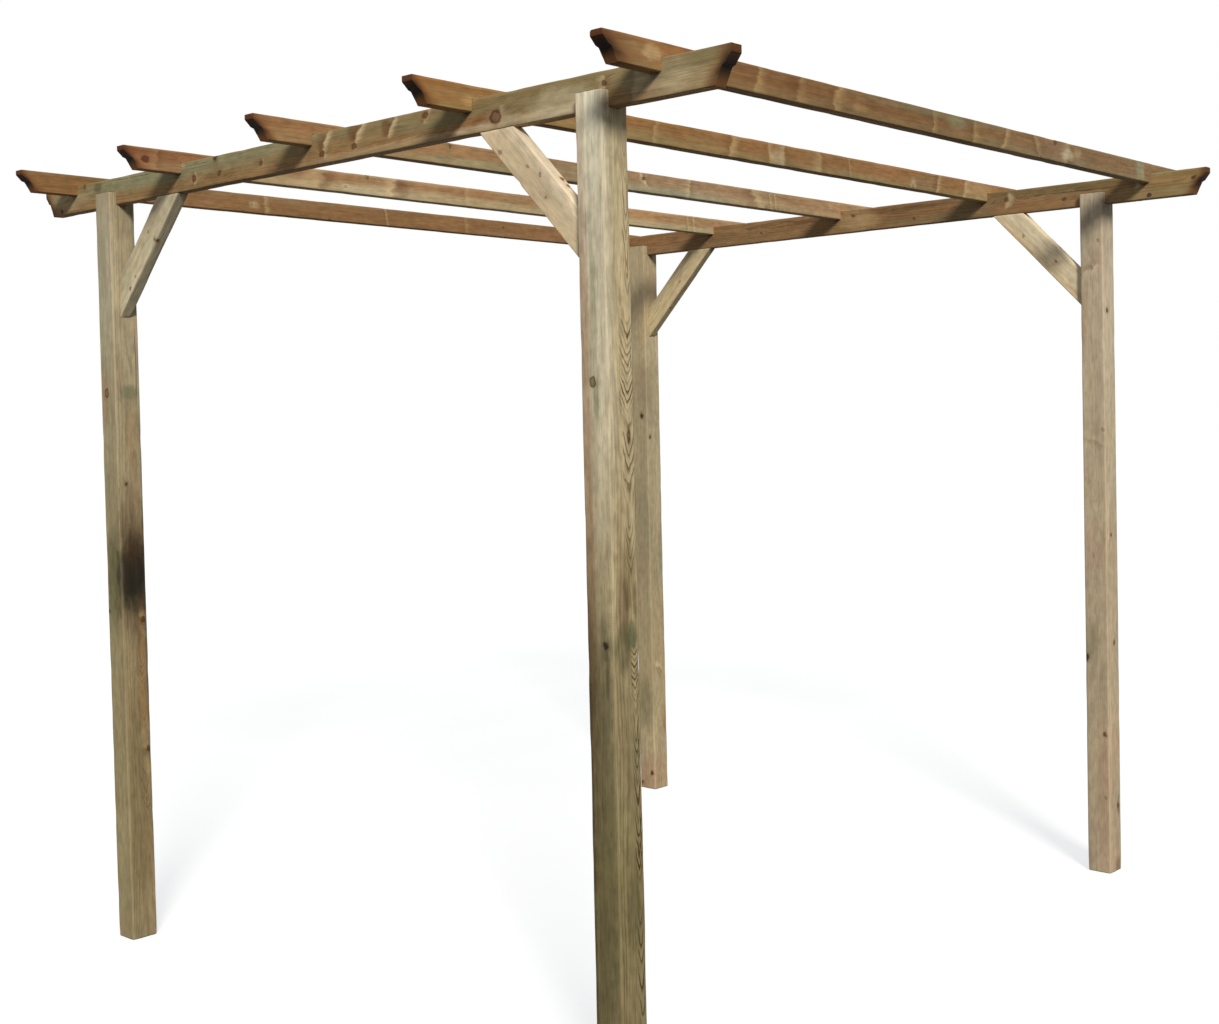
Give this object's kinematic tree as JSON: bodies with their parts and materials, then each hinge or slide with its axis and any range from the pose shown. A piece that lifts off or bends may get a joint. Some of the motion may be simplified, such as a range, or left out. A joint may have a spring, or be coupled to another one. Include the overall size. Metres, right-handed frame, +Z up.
{
  "type": "wooden pergola",
  "caption": "Open timber pergola with forked square posts, shaped beams, corner knee braces and notched rafters, for shading or climbing plants over a path or seat.",
  "frame": {"origin": "centre of the bounding box at floor level", "axes": "+X along the beams to the right, +Y along the rafters to the back, +Z up"},
  "size_m": [3.11, 3.07, 2.596],
  "materials": {
    "post_timber": "planed treated pine, dry",
    "beam_timber": "planed treated pine, dry",
    "brace_timber": "planed treated pine, dry",
    "rafter_timber": "planed treated pine, dry"
  },
  "bodies": {
    "root": {"post_front_right": "post_timber", "post_front_left": "post_timber", "post_back_right": "post_timber", "post_back_left": "post_timber", "beam_front": "beam_timber", "beam_back": "beam_timber", "brace_front_right": "brace_timber", "brace_front_left": "brace_timber", "brace_back_right": "brace_timber", "brace_back_left": "brace_timber", "rafter_1": "rafter_timber", "rafter_2": "rafter_timber", "rafter_3": "rafter_timber", "rafter_4": "rafter_timber", "rafter_5": "rafter_timber"}
  },
  "joints": []
}
